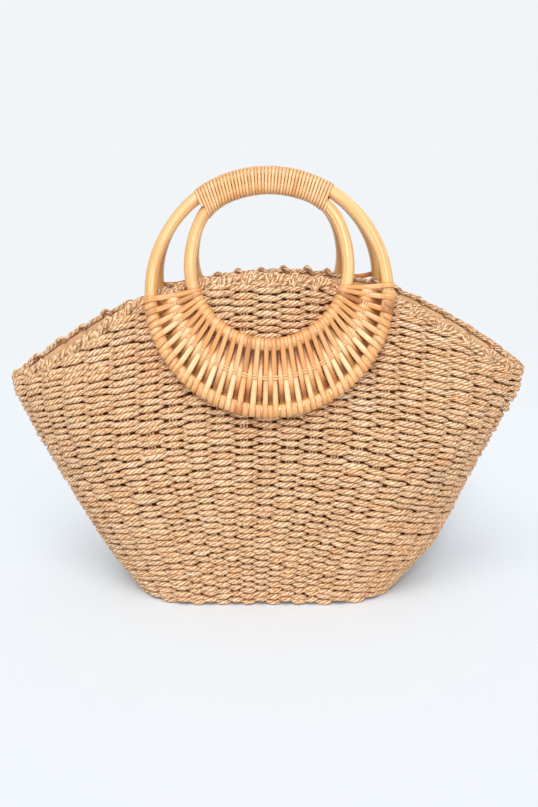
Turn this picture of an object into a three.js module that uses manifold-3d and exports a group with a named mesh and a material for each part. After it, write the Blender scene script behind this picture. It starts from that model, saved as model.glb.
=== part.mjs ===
// A straw basket bag: a fan-shaped tote woven from twisted paper cord, with two double-ring rattan handles.
// Millimetres, +Z up. The origin is the centre of the flat base, and the front of the bag faces -Y.
import * as THREE from "three";
import { mergeVertices } from "three/addons/utils/BufferGeometryUtils.js";
import Module from "manifold-3d";

const wasm = await Module();
wasm.setup();

// Sizes of the basket
const HALF_WIDTH = 231; // from the middle to either side tip of the mouth
const TIP_HEIGHT = 206; // where the side edges of the mouth reach their full width
const MOUTH_HEIGHT = 293.5; // top of the border at the middle of the mouth
// The mouth's arch sags a little unevenly: how far each tip lies above the tip height, and the power
// of the curve that falls to it.
const MOUTH_ARCH = {
  left: { lift: -2, power: 1.85 },
  right: { lift: 3.5, power: 2.07 },
};
const BASE_HALF_DEPTH = 57;
const BASE_HALF_FLAT = { left: 68, right: 56 }; // the straight stretch of the oval base, each way
const BASE_ROUND = 4; // how far the foot is drawn in under the wall
const BASE_FLARE = 0.04; // how fast the front leaves the upright, just above the base
const WALL = 6; // one cord over, one stake, and one cord under
const TIP_WALL = 1.5; // the wall at the folded side edges, in walls
const GAP = 0.3; // between pieces that touch

// Outline from the front: heights as shares of the tip height, half-widths as shares of the half-width.
const OUTLINE = [
  { height: 0.0, left: 0.536, right: 0.535 },
  { height: 0.1, left: 0.608, right: 0.605 },
  { height: 0.24, left: 0.695, right: 0.711 },
  { height: 0.48, left: 0.818, right: 0.809 },
  { height: 0.72, left: 0.928, right: 0.911 },
  { height: 0.91, left: 0.999, right: 0.993 },
  { height: 1.0, left: 1.001, right: 1.003 },
  { height: 1.41, left: 1.04, right: 1.043 },
];
// Heights of the rings of facets up the wall, as shares of the wall's height at each stake.
const OUTER_LEVELS = [0.06, 0.14, 0.26, 0.38, 0.5, 0.61, 0.74, 0.88, 1];
const INNER_LEVELS = [0.06, 0.2, 0.42, 0.64, 0.86, 1];
const STAKES_FLAT = 10; // stakes across the flat front, and as many across the back
const STAKES_END = 10; // stakes round each end
const STAKES = 2 * (STAKES_FLAT + STAKES_END);
const END_SAMPLES = 32; // steps that measure the length of a round end

// Sizes of the border and the lining
const BORDER_HEIGHT = 7;
const BORDER_OVERHANG = 0.8; // how far the border stands in over the mouth
const BORDER_ROUND = 1.6;
const LINING = 1;
const LINING_DROP = 0.5; // from the top of the wall down to the lining's edge

// Sizes of the handles
const RING_DIAMETER = 210; // over the outer ring
const INNER_RING_DIAMETER = 144; // over the inner ring
const CANE_DIAMETER = 10.5;
const STRIP_THICKNESS = 1.3; // split cane, woven and wrapped
const HUG = 3.2; // how far the wrapping pulls the inner ring's shoulders out to the outer ring
const RING_DROP = 12.5; // from the top of the mouth down to the centre of the outer ring
const HANDLE_LEAN = THREE.MathUtils.degToRad(16);
const FRONT_HANDLE_SHIFT = 1.5; // sideways from the middle of the basket
const BACK_HANDLE_SHIFT = 0;
const HANDLE_CLEARANCE = 0.15; // from each grip to the middle plane, where the two grips rest together
const FLAT_MARGIN = 3; // flat stretch of the wall beside each handle

const RING_SEGMENTS = 36;
const CANE_SIDES = 8;
const GRIP_ENDS = { right: 58, left: 127 }; // degrees round the outer ring, from +X
const GRIP_FAN = 1.36; // degrees round the inner ring for each one round the outer
const GRIP_STATIONS = 7;
const GRIP_SIDES = 4; // facets round each rounded edge of the grip
const PANEL_ENDS = { left: 184, right: 363 }; // degrees round the outer ring
const PANEL_FAN = 0.191; // how the strips close up towards both ends, on the inner ring
const PANEL_STRIPS = 31; // strips that show at the front
const PANEL_STATIONS = 16; // sections that shape the panel
const PANEL_MIDDLE = 2; // half-thickness where the strips cross the band
const INNER_GAPS = { start: 1, end: 0.36, sides: 0.31 };
const OUTER_GAPS = { start: 0.59, end: 0.5, sides: 0.25 };

const cane = CANE_DIAMETER / 2;
const sleeve = cane + STRIP_THICKNESS;
const outerRing = RING_DIAMETER / 2 - cane;
const innerRing = INNER_RING_DIAMETER / 2 - cane;
const ringOffset = outerRing - CANE_DIAMETER - GAP - innerRing;
const ringHeight = MOUTH_HEIGHT - RING_DROP;
const ringHalfDepth = sleeve + HANDLE_CLEARANCE + outerRing * Math.sin(HANDLE_LEAN);
const widestShift = Math.max(Math.abs(FRONT_HANDLE_SHIFT), Math.abs(BACK_HANDLE_SHIFT));
const panelHalfFlat = RING_DIAMETER / 2 + STRIP_THICKNESS + widestShift + FLAT_MARGIN;
// The lowest height at which the leaning wall is flat behind a handle.
const flatFrom = ringHeight - (outerRing + sleeve + FLAT_MARGIN) * Math.cos(HANDLE_LEAN);

const straw = new THREE.MeshStandardMaterial({ color: 0xd9b083, roughness: 0.85, metalness: 0 });
const cloth = new THREE.MeshStandardMaterial({ color: 0xc99b6b, roughness: 0.9, metalness: 0 });
const rattan = new THREE.MeshStandardMaterial({ color: 0xe6b96a, roughness: 0.4, metalness: 0 });
const splitCane = new THREE.MeshStandardMaterial({ color: 0xf0bf78, roughness: 0.5, metalness: 0 });

// General shapes

function smoothStep(share) {
  const t = THREE.MathUtils.clamp(share, 0, 1);
  return t * t * (3 - 2 * t);
}

function hermite(t, from, fromSlope, to, toSlope) {
  const t2 = t * t;
  const t3 = t2 * t;
  const start = (2 * t3 - 3 * t2 + 1) * from + (t3 - 2 * t2 + t) * fromSlope;
  return start + (3 * t2 - 2 * t3) * to + (t3 - t2) * toSlope;
}

// A smooth curve through one column of a table whose rows climb in height.
function tableValue(rows, column, height) {
  const last = rows.length - 1;
  const slope = (i) => {
    const low = rows[Math.max(i - 1, 0)];
    const high = rows[Math.min(i + 1, last)];
    return (high[column] - low[column]) / (high.height - low.height);
  };
  let i = 0;
  while (i < last - 1 && height > rows[i + 1].height) i += 1;
  const step = rows[i + 1].height - rows[i].height;
  const t = (height - rows[i].height) / step;
  return hermite(t, rows[i][column], slope(i) * step, rows[i + 1][column], slope(i + 1) * step);
}

// A closed skin over rings of points that all run the same way round. The rings either close on
// themselves, or the first and the last are capped from their middles. Each facet with four corners
// folds along its shorter diagonal, so that neighbouring pieces fold alike.
function skinOver(rings, closesOnItself) {
  const around = rings[0].length;
  const points = rings.flat();
  const positions = points.flatMap((p) => [p.x, p.y, p.z]);
  const faces = [];
  const spans = closesOnItself ? rings.length : rings.length - 1;
  for (let r = 0; r < spans; r += 1) {
    const low = r * around;
    const high = ((r + 1) % rings.length) * around;
    for (let i = 0; i < around; i += 1) {
      const next = (i + 1) % around;
      const [a, b, c, d] = [low + i, low + next, high + next, high + i];
      if (points[a].distanceTo(points[c]) < points[b].distanceTo(points[d])) {
        faces.push(a, b, c, a, c, d);
      } else {
        faces.push(a, b, d, b, c, d);
      }
    }
  }
  if (!closesOnItself) {
    [0, rings.length - 1].forEach((r) => {
      const middle = rings[r].reduce((sum, p) => sum.add(p), new THREE.Vector3());
      middle.divideScalar(around);
      const centre = positions.length / 3;
      positions.push(middle.x, middle.y, middle.z);
      for (let i = 0; i < around; i += 1) {
        const pair = [r * around + i, r * around + ((i + 1) % around)];
        if (r === 0) pair.reverse();
        faces.push(centre, ...pair);
      }
    });
  }
  return new THREE.BufferGeometry()
    .setAttribute("position", new THREE.Float32BufferAttribute(positions, 3))
    .setIndex(faces);
}

// A solid through flat sections, which are outlines in each section's own plane.
function loft(sections) {
  const around = sections[0].outline.length;
  const positions = sections.flatMap((s) => s.outline.flatMap((p) => s.place(p).toArray()));
  const faces = [];
  for (let s = 0; s < sections.length - 1; s += 1) {
    for (let i = 0; i < around; i += 1) {
      const a = s * around + i;
      const b = s * around + ((i + 1) % around);
      faces.push(a, b, b + around, a, b + around, a + around);
    }
  }
  const last = (sections.length - 1) * around;
  THREE.ShapeUtils.triangulateShape(sections[0].outline, []).forEach(([a, b, c]) => {
    faces.push(c, b, a);
  });
  THREE.ShapeUtils.triangulateShape(sections.at(-1).outline, []).forEach(([a, b, c]) => {
    faces.push(last + a, last + b, last + c);
  });
  return new THREE.BufferGeometry()
    .setAttribute("position", new THREE.Float32BufferAttribute(positions, 3))
    .setIndex(faces);
}

function solidOf(geometry) {
  const bare = new THREE.BufferGeometry().setAttribute("position", geometry.getAttribute("position"));
  bare.setIndex(geometry.index);
  const merged = mergeVertices(bare, 1e-4);
  return new wasm.Manifold(
    new wasm.Mesh({
      numProp: 3,
      vertProperties: merged.attributes.position.array,
      triVerts: new Uint32Array(merged.index.array),
    }),
  );
}

function geometryOf(solid) {
  const mesh = solid.getMesh();
  return new THREE.BufferGeometry()
    .setAttribute("position", new THREE.BufferAttribute(mesh.vertProperties, mesh.numProp))
    .setIndex(new THREE.BufferAttribute(mesh.triVerts, 1));
}

function named(name, geometry, material) {
  const mesh = new THREE.Mesh(geometry, material);
  mesh.name = name;
  return mesh;
}

// The basket

// Half of the basket's depth at its middle. The wall leans with the handle from flatFrom up.
function halfDepth(z) {
  const lean = Math.tan(HANDLE_LEAN);
  const behindRing = ringHalfDepth - (sleeve + GAP) / Math.cos(HANDLE_LEAN);
  const leaning = (height) => behindRing + (ringHeight - height) * lean;
  if (z >= flatFrom) return leaning(z);
  return hermite(
    z / flatFrom,
    BASE_HALF_DEPTH,
    BASE_FLARE * flatFrom,
    leaning(flatFrom),
    -lean * flatFrom,
  );
}

// How far the flat front and back reach to a side at a height.
function flatReach(side, z) {
  return THREE.MathUtils.lerp(BASE_HALF_FLAT[side], panelHalfFlat, smoothStep(z / flatFrom));
}

// A point of the basket's wall: stake counts round from the front left corner, and inset goes into the wall.
function wallPoint(stake, z, inset) {
  const depth = halfDepth(z) - inset;
  const halfTurn = STAKES_FLAT + STAKES_END;
  const atBack = stake % STAKES >= halfTurn;
  const along = stake % halfTurn;
  const turn = atBack ? -1 : 1;
  const [before, side] = atBack ? ["right", "left"] : ["left", "right"];
  const flat = flatReach(side, z);
  if (along <= STAKES_FLAT) {
    const x = THREE.MathUtils.lerp(-flatReach(before, z), flat, along / STAKES_FLAT);
    return new THREE.Vector3(turn * x, -turn * depth, z);
  }
  const half = HALF_WIDTH * tableValue(OUTLINE, side, z / TIP_HEIGHT) - inset * TIP_WALL;
  const [across, deep] = endPoint((along - STAKES_FLAT) / STAKES_END, half - flat, depth, z);
  return new THREE.Vector3(turn * (flat + across), -turn * deep, z);
}

// A point of an end's outline, at a share of its length. The end is a half oval at the base
// and closes to an edge at the tips.
function endPoint(share, reach, depth, z) {
  const power = 1 + 0.9 * smoothStep(z / TIP_HEIGHT);
  const at = (angle) => {
    const c = Math.cos(angle);
    return [reach * Math.sin(angle), depth * Math.sign(c) * Math.abs(c) ** power];
  };
  const points = [];
  const lengths = [0];
  for (let i = 0; i <= END_SAMPLES; i += 1) {
    points.push(at((Math.PI * i) / END_SAMPLES));
    if (i > 0) {
      const step = Math.hypot(points[i][0] - points[i - 1][0], points[i][1] - points[i - 1][1]);
      lengths.push(lengths[i - 1] + step);
    }
  }
  const wanted = share * lengths[END_SAMPLES];
  let i = 0;
  while (i < END_SAMPLES - 1 && lengths[i + 1] < wanted) i += 1;
  const t = (wanted - lengths[i]) / (lengths[i + 1] - lengths[i]);
  return [0, 1].map((axis) => THREE.MathUtils.lerp(points[i][axis], points[i + 1][axis], t));
}

// How far the mouth has dropped at a stake, from its top at the middle to its tips.
function archDrop(stake) {
  const share = wallPoint(stake, TIP_HEIGHT, 0).x / HALF_WIDTH;
  const { lift, power } = share < 0 ? MOUTH_ARCH.left : MOUTH_ARCH.right;
  return (MOUTH_HEIGHT - TIP_HEIGHT - lift) * Math.min(Math.abs(share), 1) ** power;
}

function wallRing(heightAt, inset) {
  return Array.from({ length: STAKES }, (_, k) => wallPoint(k, heightAt(k), inset));
}

function wallTopAt(stake) {
  return MOUTH_HEIGHT - BORDER_HEIGHT - GAP - archDrop(stake);
}

// A pot whose wall lies between two insets. It stands at one height, its foot is drawn in, and its
// edge ends somewhere below the top of the basket's wall.
function pot(outer, inner, bottom, footRound, drop) {
  const floor = bottom + inner.inset - outer.inset;
  const wall = ({ inset, levels }) => {
    const rings = levels.map((share) => wallRing((k) => share * wallTopAt(k), inset));
    const below = rings.at(-2);
    rings.at(-1).forEach((p, k) => p.lerp(below[k], drop / (p.z - below[k].z)));
    return rings;
  };
  return skinOver(
    [
      wallRing(() => bottom, outer.inset + footRound),
      wallRing(() => bottom + footRound, outer.inset),
      ...wall(outer),
      ...wall(inner).reverse(),
      wallRing(() => floor, inner.inset),
    ],
    false,
  );
}

function basketBody() {
  const outer = { inset: 0, levels: OUTER_LEVELS };
  const inner = { inset: WALL, levels: INNER_LEVELS };
  return pot(outer, inner, 0, BASE_ROUND, 0);
}

function lining() {
  const outer = { inset: WALL + GAP, levels: INNER_LEVELS };
  const inner = { inset: WALL + GAP + LINING, levels: INNER_LEVELS };
  return pot(outer, inner, WALL + GAP, LINING, LINING_DROP);
}

function rimBorder() {
  const inner = WALL + BORDER_OVERHANG;
  const corners = [
    { inset: inner, down: BORDER_HEIGHT },
    { inset: 0, down: BORDER_HEIGHT },
    { inset: 0, down: BORDER_ROUND },
    { inset: BORDER_ROUND, down: 0 },
    { inset: inner - BORDER_ROUND, down: 0 },
    { inset: inner, down: BORDER_ROUND },
  ];
  const ring = ({ inset, down }) => wallRing((k) => MOUTH_HEIGHT - down - archDrop(k), inset);
  return skinOver(corners.map(ring), true);
}

// One handle, in its own plane: X across, Z up, and the centre of the outer ring as origin.

// How far the inner ring's centreline stands out from its circle, to follow the outer ring.
function hugAt(angle) {
  const fromTop = Math.abs(angle - Math.PI / 2);
  return fromTop < Math.PI / 2 ? HUG * Math.sin(2 * fromTop) ** 3 : 0;
}

function onOuterRing(angle) {
  return new THREE.Vector2(Math.cos(angle), Math.sin(angle)).multiplyScalar(outerRing);
}

function onInnerRing(angle) {
  const radius = innerRing + hugAt(angle);
  return new THREE.Vector2(radius * Math.cos(angle), ringOffset + radius * Math.sin(angle));
}

function outerRingTube(clearance) {
  const tube = new THREE.TorusGeometry(outerRing, cane + clearance, CANE_SIDES, RING_SEGMENTS);
  return tube.rotateX(Math.PI / 2);
}

function innerRingTube(clearance) {
  const tube = new THREE.TorusGeometry(innerRing, cane + clearance, CANE_SIDES, RING_SEGMENTS);
  const at = tube.getAttribute("position");
  for (let i = 0; i < at.count; i += 1) {
    const angle = Math.atan2(at.getY(i), at.getX(i));
    const shift = hugAt(angle);
    at.setXY(i, at.getX(i) + shift * Math.cos(angle), at.getY(i) + shift * Math.sin(angle));
  }
  return tube.rotateX(Math.PI / 2).translate(0, 0, ringOffset);
}

// A section between two points of the rings: its outline runs along the line from one to the other,
// and across the plane of the rings.
function sectionBetween(inner, outer, outlineFor) {
  const line = outer.clone().sub(inner);
  const length = line.length();
  line.normalize();
  const place = (p) =>
    new THREE.Vector3(inner.x + line.x * p.x, p.y, inner.y + line.y * p.x);
  return { outline: outlineFor(length), place };
}

function withoutRings(geometry) {
  return solidOf(geometry).subtract(solidOf(outerRingTube(GAP))).subtract(solidOf(innerRingTube(GAP)));
}

// The wrapped grip, where both rings run together at the top.
function gripWrap() {
  const outlineFor = (length) => {
    const points = [];
    [length, 0].forEach((centre, end) => {
      for (let i = 0; i <= GRIP_SIDES; i += 1) {
        const angle = Math.PI * (i / GRIP_SIDES + end - 0.5);
        points.push(new THREE.Vector2(centre + sleeve * Math.cos(angle), sleeve * Math.sin(angle)));
      }
    });
    return points;
  };
  const sections = Array.from({ length: GRIP_STATIONS }, (_, i) => {
    const share = i / (GRIP_STATIONS - 1);
    const degrees = THREE.MathUtils.lerp(GRIP_ENDS.right, GRIP_ENDS.left, share);
    const outer = onOuterRing(THREE.MathUtils.degToRad(degrees));
    const inner = onInnerRing(THREE.MathUtils.degToRad(90 + GRIP_FAN * (degrees - 90)));
    return sectionBetween(inner, outer, outlineFor);
  });
  return geometryOf(withoutRings(loft(sections)));
}

// The two ends of a strip of the woven panel, at a share of the way from its left end to its right.
function stripEnds(share) {
  const degrees = THREE.MathUtils.lerp(PANEL_ENDS.left, PANEL_ENDS.right, share);
  const fromBottom = degrees - 270;
  const closed = fromBottom * (1 - PANEL_FAN * (fromBottom / 90) ** 2);
  return {
    outer: onOuterRing(THREE.MathUtils.degToRad(degrees)),
    inner: onInnerRing(THREE.MathUtils.degToRad(270 + closed)),
  };
}

// A gap between two neighbouring strips, from one distance to another along them.
function panelGap(index, from, to, sides) {
  const spans = PANEL_STRIPS - 1;
  const lines = [index + sides, index + 1 - sides].map((at) => stripEnds(at / spans));
  const corner = (line, end) => {
    const length = line.outer.distanceTo(line.inner);
    return line.inner.clone().lerp(line.outer, end(length) / length);
  };
  const corners = [
    corner(lines[0], from),
    corner(lines[0], to),
    corner(lines[1], to),
    corner(lines[1], from),
  ];
  const reach = 2 * sleeve;
  const gap = new THREE.ExtrudeGeometry(new THREE.Shape(corners), { depth: 2 * reach, bevelEnabled: false });
  return solidOf(gap.rotateX(Math.PI / 2).translate(0, reach, 0));
}

// The woven panel: strips wrapped round both rings and crossed by a band half-way between them.
function canePanel() {
  const edge = sleeve * Math.tan(Math.PI / 8);
  const outlineFor = (length) => {
    const front = [
      [-edge, -sleeve],
      [edge, -sleeve],
      [length / 2, -PANEL_MIDDLE],
      [length - edge, -sleeve],
      [length + edge, -sleeve],
      [length + sleeve, -edge],
    ];
    const back = front.map(([x, y]) => [x, -y]).reverse();
    const outline = [[-sleeve, -edge], ...front, ...back, [-sleeve, edge]];
    return outline.map(([x, y]) => new THREE.Vector2(x, y));
  };
  const sections = Array.from({ length: PANEL_STATIONS }, (_, i) => {
    const { inner, outer } = stripEnds(i / (PANEL_STATIONS - 1));
    return sectionBetween(inner, outer, outlineFor);
  });
  const gaps = [];
  for (let i = 0; i < PANEL_STRIPS - 1; i += 1) {
    const start = () => sleeve + INNER_GAPS.start;
    const end = (length) => length - sleeve - OUTER_GAPS.end;
    gaps.push(panelGap(i, start, (length) => length * INNER_GAPS.end, INNER_GAPS.sides));
    gaps.push(panelGap(i, (length) => length * OUTER_GAPS.start, end, OUTER_GAPS.sides));
  }
  return geometryOf(withoutRings(loft(sections)).subtract(wasm.Manifold.union(gaps)));
}

function handle(side, shift, lean) {
  const group = new THREE.Group();
  group.add(
    named(side + "_outer_ring", outerRingTube(0), rattan),
    named(side + "_inner_ring", innerRingTube(0), rattan),
    named(side + "_grip_wrap", gripWrap(), splitCane),
    named(side + "_cane_panel", canePanel(), splitCane),
  );
  group.rotation.x = -lean;
  group.position.set(shift, -Math.sign(lean) * ringHalfDepth, ringHeight);
  return group;
}

const bag = new THREE.Group();
bag.add(
  named("basket_body", basketBody(), straw),
  named("rim_border", rimBorder(), straw),
  named("lining", lining(), cloth),
  handle("front", FRONT_HANDLE_SHIFT, HANDLE_LEAN),
  handle("back", BACK_HANDLE_SHIFT, -HANDLE_LEAN),
);

export default bag;
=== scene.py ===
# A straw basket bag with double-ring rattan handles. Lengths are in millimetres until a mesh is
# made, and metres from there on. The front of the bag faces -Y.
import math

import bpy
import numpy as np
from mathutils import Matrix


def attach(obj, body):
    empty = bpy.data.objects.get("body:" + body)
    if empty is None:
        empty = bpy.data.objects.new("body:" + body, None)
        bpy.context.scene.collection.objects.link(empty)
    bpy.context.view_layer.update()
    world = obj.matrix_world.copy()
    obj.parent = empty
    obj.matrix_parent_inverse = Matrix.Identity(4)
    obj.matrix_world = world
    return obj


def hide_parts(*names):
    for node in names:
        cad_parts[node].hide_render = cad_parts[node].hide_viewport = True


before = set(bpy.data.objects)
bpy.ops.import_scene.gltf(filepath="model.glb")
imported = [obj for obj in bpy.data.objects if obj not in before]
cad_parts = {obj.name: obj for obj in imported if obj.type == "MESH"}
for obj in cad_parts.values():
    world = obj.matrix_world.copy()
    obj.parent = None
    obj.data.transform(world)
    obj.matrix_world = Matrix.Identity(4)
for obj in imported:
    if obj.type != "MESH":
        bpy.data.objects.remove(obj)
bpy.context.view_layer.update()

MM = 0.001
scene = bpy.context.scene
chance = np.random.default_rng(53)


# The inner side of the weave. The bag is woven over a last: a flat oval base, a front and a back
# that fan out and lean together towards the mouth, and round ends that close to an edge at the two
# tips. Between the cords shows the inner half of the wall: a shell painted dark brown as its shade.
HALF_WIDTH = 231.0
TIP_HEIGHT = 206.0
MOUTH_HEIGHT = 293.5
MOUTH_LIFT = {"left": -2.0, "right": 3.5}
MOUTH_POWER = {"left": 1.85, "right": 2.07}
BASE_HALF_DEPTH = 57.0
BASE_HALF_FLAT = {"left": 68.0, "right": 56.0}
BASE_ROUND = 4.0
BASE_FLARE = 0.04
TIP_WALL = 1.5
OUTLINE_HEIGHT = [0.0, 0.1, 0.24, 0.48, 0.72, 0.91, 1.0, 1.41]
OUTLINE = {
    "left": [0.536, 0.608, 0.695, 0.818, 0.928, 0.999, 1.001, 1.04],
    "right": [0.535, 0.605, 0.711, 0.809, 0.911, 0.993, 1.003, 1.043],
}
ROUND_STEPS = 440  # grid steps round the bag, a quarter each for front, back and both ends
HEIGHT_STEP = 3.0
GRID_HEIGHTS = np.arange(0, 103) * HEIGHT_STEP
DEEP = 8.0  # the second grid lies this far into the wall

# The handles' rings, which the front and back of the bag lean against.
RING_DIAMETER = 210.0
INNER_RING_DIAMETER = 144.0
CANE_DIAMETER = 10.5
STRIP_THICKNESS = 1.3
RING_DROP = 12.5
LEAN = math.radians(16)
CLEARANCE = 0.15
GAP = 0.3

cane = CANE_DIAMETER / 2
sleeve = cane + STRIP_THICKNESS
outer_radius = RING_DIAMETER / 2 - cane
inner_radius = INNER_RING_DIAMETER / 2 - cane
ring_offset = outer_radius - CANE_DIAMETER - GAP - inner_radius
ring_height = MOUTH_HEIGHT - RING_DROP
ring_half_depth = sleeve + CLEARANCE + outer_radius * math.sin(LEAN)
panel_half_flat = RING_DIAMETER / 2 + STRIP_THICKNESS + 4.5
flat_from = ring_height - (outer_radius + sleeve + 3) * math.cos(LEAN)


def hermite(t, start, start_slope, end, end_slope):
    t2, t3 = t * t, t * t * t
    value = (2 * t3 - 3 * t2 + 1) * start + (t3 - 2 * t2 + t) * start_slope
    return value + (3 * t2 - 2 * t3) * end + (t3 - t2) * end_slope


def smooth_step(share):
    t = np.clip(share, 0, 1)
    return t * t * (3 - 2 * t)


def half_width(side, height):
    """The outline from the front: half the width of the bag at a height."""
    at, widths = OUTLINE_HEIGHT, OUTLINE[side]
    share, last = height / TIP_HEIGHT, len(at) - 1

    def slope(i):
        low, high = max(i - 1, 0), min(i + 1, last)
        return (widths[high] - widths[low]) / (at[high] - at[low])

    i = min(max(np.searchsorted(at, share) - 1, 0), last - 1)
    step = at[i + 1] - at[i]
    t = (share - at[i]) / step
    return HALF_WIDTH * hermite(t, widths[i], slope(i) * step, widths[i + 1], slope(i + 1) * step)


def half_depth(height):
    """Half the depth at the middle: upright at the base, and leaning with the handles above."""
    behind_ring = ring_half_depth - (sleeve + GAP) / math.cos(LEAN)
    if height >= flat_from:
        return behind_ring + (ring_height - height) * math.tan(LEAN)
    top = behind_ring + (ring_height - flat_from) * math.tan(LEAN)
    slopes = BASE_FLARE * flat_from, -math.tan(LEAN) * flat_from
    return hermite(height / flat_from, BASE_HALF_DEPTH, slopes[0], top, slopes[1])


def wall_outline(height, inset):
    """The bag's outline from above at one height, as points a fixed share of each stretch apart."""
    grown = smooth_step(height / flat_from)
    flats = {side: flat + (panel_half_flat - flat) * grown for side, flat in BASE_HALF_FLAT.items()}
    depth = half_depth(height) - inset
    power = 1 + 0.9 * smooth_step(height / TIP_HEIGHT)
    angle = np.linspace(0, math.pi, 129)
    quarter = ROUND_STEPS // 4
    points = []
    for before, side, turn in (("left", "right", 1), ("right", "left", -1)):
        flat = flats[side]
        reach = half_width(side, height) - inset * TIP_WALL - flat
        across = reach * np.sin(angle)
        deep = depth * np.sign(np.cos(angle)) * np.abs(np.cos(angle)) ** power
        length = np.r_[0, np.cumsum(np.hypot(np.diff(across), np.diff(deep)))]
        share = np.linspace(0, length[-1], quarter, endpoint=False)
        straight = np.linspace(-flats[before], flat, quarter, endpoint=False)
        points += [(turn * x, -turn * depth) for x in straight]
        ends = zip(np.interp(share, length, across), np.interp(share, length, deep))
        points += [(turn * (flat + a), -turn * d) for a, d in ends]
    return np.array([(x, y, height) for x, y in points])


wall_grids = [
    np.array([wall_outline(height, inset) for height in GRID_HEIGHTS]) for inset in (0.0, DEEP)
]


def on_wall(turn, height, inset):
    """Points of the wall: turn is the share of the way round from the front's left corner."""
    turn, height, inset = np.broadcast_arrays(turn, height, inset)
    column = (turn % 1.0) * ROUND_STEPS
    row = np.clip(height / HEIGHT_STEP, 0, len(GRID_HEIGHTS) - 1.001)
    i, j = np.floor(column).astype(int), np.floor(row).astype(int)
    a, b = (column - i)[..., None], (row - j)[..., None]
    after = (i + 1) % ROUND_STEPS
    i = i % ROUND_STEPS

    def value(grid):
        low = grid[j, i] * (1 - a) + grid[j, after] * a
        high = grid[j + 1, i] * (1 - a) + grid[j + 1, after] * a
        return low * (1 - b) + high * b

    deep = (inset / DEEP)[..., None]
    return value(wall_grids[0]) * (1 - deep) + value(wall_grids[1]) * deep


def width_share(turn):
    """How far a place lies from the middle towards a tip, up to 1, negative at the left."""
    return on_wall(turn, TIP_HEIGHT, 0.0)[..., 0] / HALF_WIDTH


# How far the border lies above an even arch, at some shares of the way from the middle to a tip.
RIM_SHIFT_AT = (0.0, 0.3, 0.5, 0.65, 0.8, 0.93, 1.0)
RIM_SHIFT = {
    ("left", "front"): (1.5, 3.0, 2.0, -4.8, -8.8, -4.5, 1.5),
    ("left", "back"): (-1.0, -1.5, -1.5, -0.5, 0.0, 1.0, 2.0),
    ("right", "front"): (0.5, 0.5, 0.5, -2.8, -4.8, -3.0, 2.0),
    ("right", "back"): (0.0, 1.5, 3.0, 2.0, 2.0, 3.0, 3.0),
}


def mouth_height(turn):
    """The top of the border: an arch from tip to tip, which sags at both sides of the front."""
    share = width_share(turn)
    left = share < 0
    lift = np.where(left, MOUTH_LIFT["left"], MOUTH_LIFT["right"])
    power = np.where(left, MOUTH_POWER["left"], MOUTH_POWER["right"])
    drop = MOUTH_HEIGHT - TIP_HEIGHT - lift
    arch = MOUTH_HEIGHT - drop * np.minimum(np.abs(share), 1) ** power
    at_front = on_wall(turn, TIP_HEIGHT, 0.0)[..., 1] < 0
    for (side, where), shifts in RIM_SHIFT.items():
        here = (left == (side == "left")) & (at_front == (where == "front"))
        arch = arch + np.where(here, np.interp(np.abs(share), RIM_SHIFT_AT, shifts), 0)
    return arch


def put_in_scene(name, data):
    """An object in the scene for a mesh, a light or a camera."""
    thing = bpy.data.objects.new(name, data)
    scene.collection.objects.link(thing)
    return thing


def keep_values(mesh, attributes):
    """Keeps a value or a vector at each point of a mesh."""
    for key, values in attributes.items():
        values = np.asarray(values, dtype=np.float32)
        single = values.size == len(mesh.vertices)
        kind, field = ("FLOAT", "value") if single else ("FLOAT_VECTOR", "vector")
        mesh.attributes.new(key, kind, "POINT").data.foreach_set(field, values.ravel())


def new_piece(name, points, faces, material, attributes=None):
    """A smooth mesh object from points in millimetres."""
    mesh = bpy.data.meshes.new(name)
    mesh.from_pydata((np.asarray(points) * MM).tolist(), [], faces)
    keep_values(mesh, attributes or {})
    mesh.materials.append(material)
    mesh.shade_smooth()
    return put_in_scene(name, mesh)


def rows_of_faces(rows, round_count):
    """Faces between rings of points, one ring after the other, with a flat cap at each end."""
    faces = []
    for row in range(rows - 1):
        low, high = row * round_count, (row + 1) * round_count
        for i in range(round_count):
            after = (i + 1) % round_count
            faces.append((low + i, low + after, high + after, high + i))
    faces.append(tuple(range(round_count - 1, -1, -1)))
    last = (rows - 1) * round_count
    faces.append(tuple(range(last, last + round_count)))
    return faces


def add_node(tree, kind, inputs=None, **settings):
    """A node with its settings and inputs. An input is a socket to link from, or a value."""
    node = tree.nodes.new(kind)
    for key, value in settings.items():
        setattr(node, key, value)
    for key, value in (inputs or {}).items():
        socket = node.inputs[key]
        if isinstance(value, bpy.types.NodeSocket):
            tree.links.new(value, socket)
        else:
            socket.default_value = value
    return node


def result(tree, kind, inputs=None, **settings):
    """The first output of a new node."""
    return add_node(tree, kind, inputs, **settings).outputs[0]


def maths(tree, operation, *values):
    """A Math node's result."""
    return result(tree, "ShaderNodeMath", dict(enumerate(values)), operation=operation)


def linear(red, green, blue):
    """A colour given as it shows on a screen, 0 to 255."""
    return tuple(((c / 255 + 0.055) / 1.055) ** 2.4 for c in (red, green, blue)) + (1.0,)


def mixed(tree, share, first, second, how="MIX"):
    """Two colours mixed by a share."""
    node = add_node(tree, "ShaderNodeMix", data_type="RGBA", blend_type=how, clamp_result=False)
    sockets = [s for s in node.inputs if s.enabled]
    for socket, value in zip(sockets, (share, first, second)):
        if isinstance(value, bpy.types.NodeSocket):
            tree.links.new(value, socket)
        else:
            socket.default_value = value
    return next(s for s in node.outputs if s.enabled)


def ranged(tree, value, low, high, to_low=0.0, to_high=1.0):
    """A value's range stretched to another one."""
    inputs = {"Value": value, "From Min": low, "From Max": high}
    inputs |= {"To Min": to_low, "To Max": to_high}
    return add_node(tree, "ShaderNodeMapRange", inputs).outputs["Result"]


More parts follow.
